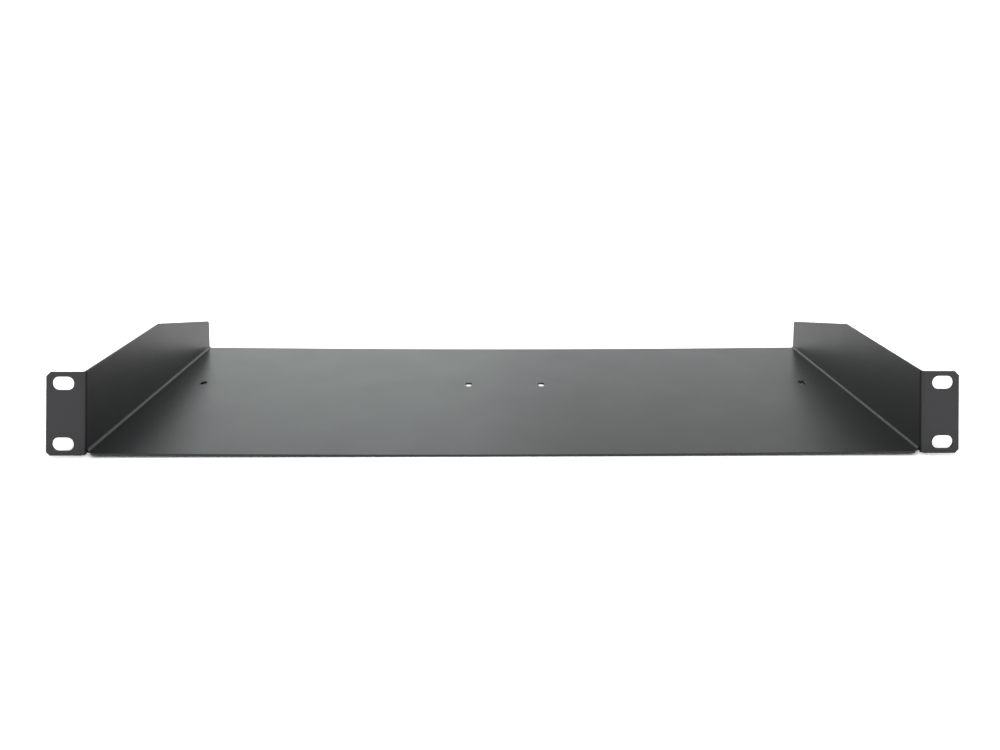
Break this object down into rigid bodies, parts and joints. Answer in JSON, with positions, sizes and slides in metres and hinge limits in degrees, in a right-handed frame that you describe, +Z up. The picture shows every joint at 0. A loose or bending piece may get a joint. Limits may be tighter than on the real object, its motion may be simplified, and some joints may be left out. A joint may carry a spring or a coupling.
{
  "type": "cantilever rack shelf",
  "caption": "Shallow rack shelf folded from sheet metal and held at its front only: a flat tray between side walls that slope down to the rear, with slotted ears that bolt to the rack.",
  "frame": {"origin": "on the underside of the tray, at the middle of the shelf's width and depth", "axes": "+X across the rack along the shelf's width, +Y from the rack ears to the open rear edge, +Z up; the ears' front faces look along -Y"},
  "size_m": [0.4826, 0.2, 0.0437],
  "materials": {
    "black_powder_coat": "fine-textured semi-matt black powder coat on folded steel sheet"
  },
  "bodies": {
    "root": {"shelf": "black_powder_coat"}
  },
  "joints": []
}
